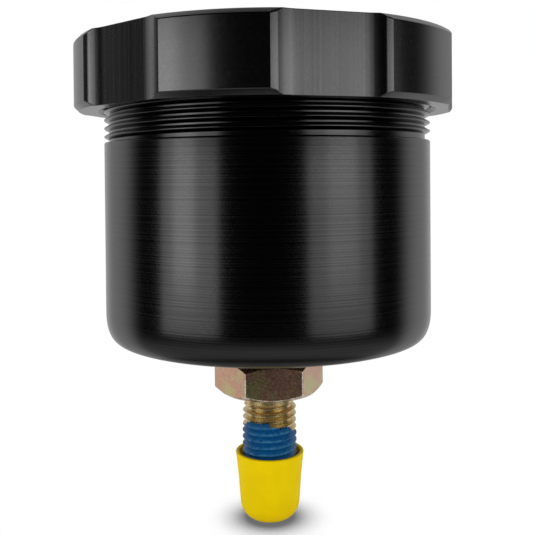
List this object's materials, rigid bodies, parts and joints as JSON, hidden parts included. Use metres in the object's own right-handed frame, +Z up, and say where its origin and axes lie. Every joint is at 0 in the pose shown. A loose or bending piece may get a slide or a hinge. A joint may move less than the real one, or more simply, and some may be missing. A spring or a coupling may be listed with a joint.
{
  "type": "brake fluid reservoir",
  "caption": "Turned metal brake fluid reservoir with a lobed screw cap, an exposed neck thread, a hex outlet adaptor with a threaded stud and a push-on dust cap.",
  "frame": {"origin": "on the axis, on the adaptor's lower hex face, where it seats on the mating casting", "axes": "+Z up along the axis of the body, cap and stud; -Y faces the picture's camera"},
  "size_m": [0.0704, 0.0704, 0.0888],
  "materials": {
    "anodised_cap": "satin black anodised, turned and milled",
    "anodised_body": "satin black anodised, fine turning lines",
    "plated_steel": "yellow passivated zinc plating on steel",
    "diaphragm_rubber": "moulded matte rubber",
    "seal_rubber": "moulded rubber",
    "thread_lock_blue": "dried thread-locking film",
    "yellow_plastic": "soft satin moulded plastic"
  },
  "bodies": {
    "reservoir": {"body": "anodised_body", "outlet_adaptor": "plated_steel", "adaptor_seal": "seal_rubber", "thread_lock_patch": "thread_lock_blue"},
    "lift": {"diaphragm": "diaphragm_rubber"},
    "cap": {"cap": "anodised_cap"},
    "dust_cap": {"dust_cap": "yellow_plastic"}
  },
  "joints": [
    {"name": "cap_lift", "type": "slide", "parent": "reservoir", "child": "lift", "axis": [0, 0, 1], "range_m": [0, 0.0075]},
    {"name": "cap_turn", "type": "hinge", "parent": "lift", "child": "cap", "pos_m": [0, 0, 0.058], "axis": [0, 0, 1], "range_deg": [0, 1800]},
    {"name": "dust_cap_pull", "type": "slide", "parent": "reservoir", "child": "dust_cap", "axis": [0, 0, -1], "range_m": [0, 0.04]}
  ],
  "couplings": [
    {"joint": "cap_lift", "follows": "cap_turn", "m_per_rad": 0.00023873}
  ]
}
